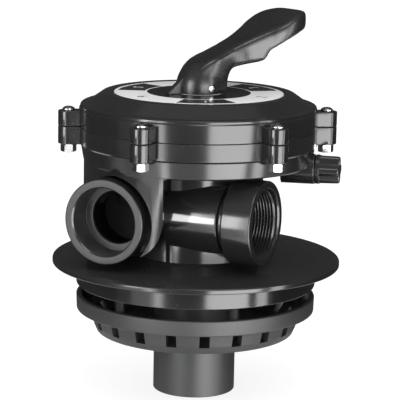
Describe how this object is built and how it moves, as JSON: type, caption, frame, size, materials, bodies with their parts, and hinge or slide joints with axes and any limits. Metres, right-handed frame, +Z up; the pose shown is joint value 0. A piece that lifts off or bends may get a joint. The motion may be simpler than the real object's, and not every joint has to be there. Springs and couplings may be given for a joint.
{
  "type": "multiport selector valve",
  "caption": "Top-mount selector valve for a sand filter: bolted lid with dial and cam lever, side ports, tank flange, slotted diffuser basket and pipe socket.",
  "frame": {"origin": "centre of the pipe socket's bottom end, on the valve's axis, which is the bottom centre of the bounding box", "axes": "+Z up along the valve's axis, +X out of the return port, -Y out of the pump port"},
  "size_m": [0.21, 0.21, 0.2772],
  "materials": {
    "black_body": "glossy moulded black ABS",
    "black_plug": "glossy moulded black ABS",
    "black_lid": "glossy moulded black ABS",
    "black_lever": "satin moulded black nylon",
    "grey_basket": "satin dark grey ABS",
    "grey_pipe": "satin dark grey PVC",
    "black_rubber": "moulded rubber",
    "silver_print": "glossy silver dial film on a plastic plate",
    "white_nylon": "moulded nylon",
    "stainless_steel": "bright stainless steel"
  },
  "bodies": {
    "housing": {"valve_body": "black_body", "tank_flange": "black_body", "pump_port_collar": "black_body", "return_port_collar": "black_body", "waste_port_collar": "black_body", "lid": "black_lid", "dial_plate": "silver_print", "lid_seal": "black_rubber", "stem_seal_1": "black_rubber", "stem_seal_2": "black_rubber", "spider_gasket": "black_rubber", "diffuser_basket": "grey_basket", "standpipe_socket": "grey_pipe", "lid_screw_1": "stainless_steel", "lid_screw_2": "stainless_steel", "lid_screw_3": "stainless_steel", "lid_screw_4": "stainless_steel", "lid_screw_5": "stainless_steel", "lid_screw_6": "stainless_steel", "lid_nut_1": "stainless_steel", "lid_nut_2": "stainless_steel", "lid_nut_3": "stainless_steel", "lid_nut_4": "stainless_steel", "lid_nut_5": "stainless_steel", "lid_nut_6": "stainless_steel"},
    "selector": {"lever_washer": "white_nylon", "spring_washer": "white_nylon", "rotor_spring": "stainless_steel"},
    "diverter": {"rotor": "white_nylon", "pivot_pin": "stainless_steel"},
    "lever": {"lever_handle": "black_lever"},
    "plug_carrier": {"plug_seal": "black_rubber"},
    "plug": {"gauge_plug": "black_plug"}
  },
  "joints": [
    {"name": "selector_turn", "type": "hinge", "parent": "housing", "child": "selector", "pos_m": [0, 0, 0.2196], "axis": [0, 0, 1], "continuous": true},
    {"name": "rotor_lift", "type": "slide", "parent": "selector", "child": "diverter", "axis": [0, 0, 1], "range_m": [0, 0.0042], "stiffness_N_per_m": 4000, "springref_m": -0.004, "deforming": ["rotor_spring"]},
    {"name": "lever_press", "type": "hinge", "parent": "diverter", "child": "lever", "pos_m": [0, 0, 0.2243], "axis": [-0.866, 0.5, 0], "range_deg": [0, 20]},
    {"name": "plug_out", "type": "slide", "parent": "housing", "child": "plug_carrier", "axis": [0.9703, 0.2419, 0], "range_m": [0, 0.0093]},
    {"name": "plug_turn", "type": "hinge", "parent": "plug_carrier", "child": "plug", "pos_m": [0.09218, 0.02298, 0.1684], "axis": [0.9703, 0.2419, 0], "range_deg": [0, 2520]}
  ],
  "couplings": [
    {"joint": "lever_press", "follows": "rotor_lift", "rad_per_m": 83},
    {"joint": "plug_turn", "follows": "plug_out", "rad_per_m": 4699}
  ]
}
